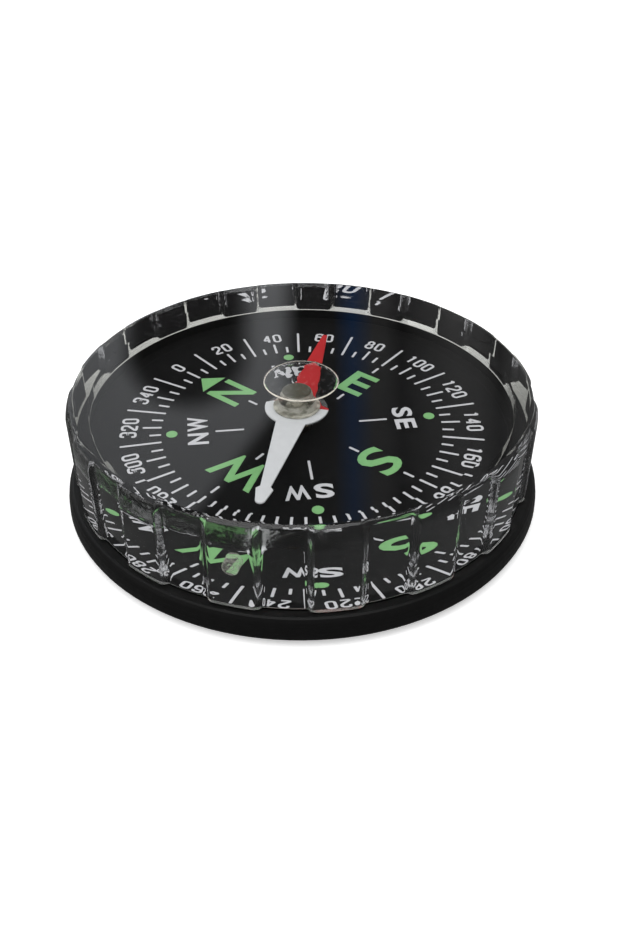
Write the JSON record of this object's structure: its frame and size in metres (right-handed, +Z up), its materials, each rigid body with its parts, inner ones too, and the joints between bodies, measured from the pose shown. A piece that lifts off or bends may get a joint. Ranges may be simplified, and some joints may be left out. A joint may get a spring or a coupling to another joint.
{
  "type": "liquid-filled pocket compass",
  "caption": "Small round hiking compass: a clear castellated capsule on a black dish, with a degree dial and a magnetic needle that turns on a pin.",
  "frame": {"origin": "centre of the flat underside; the needle's pivot axis stands 0.45 mm to its left", "axes": "+Z up, parallel to the pivot axis; +Y away from the picture's camera, +X to its right"},
  "size_m": [0.045, 0.045, 0.0113],
  "materials": {
    "black_plastic": "smooth moulded black",
    "dial_black": "satin black with white and green print",
    "clear_acrylic": "clear moulded acrylic, polished",
    "plug_acrylic": "clear acrylic, slightly frosted",
    "boss_brass": "turned",
    "pin_steel": "hardened and polished",
    "needle_paint": "white paint on the south half, red paint on the north half",
    "hub_acrylic": "clear moulded acrylic",
    "retainer_white": "pale satin",
    "jewel_glass": "polished"
  },
  "bodies": {
    "case": {"base_dish": "black_plastic", "dial_plate": "dial_black", "clear_capsule": "clear_acrylic", "filler_plug": "plug_acrylic", "pivot_boss": "boss_brass", "pivot_pin": "pin_steel"},
    "needle": {"needle_blade": "needle_paint", "needle_hub": "hub_acrylic", "hub_retainer": "retainer_white", "bearing_cup": "jewel_glass"}
  },
  "joints": [
    {"name": "needle_swing", "type": "hinge", "parent": "case", "child": "needle", "pos_m": [-0.00045, 0, 0.0058], "axis": [0, 0, 1], "continuous": true}
  ]
}
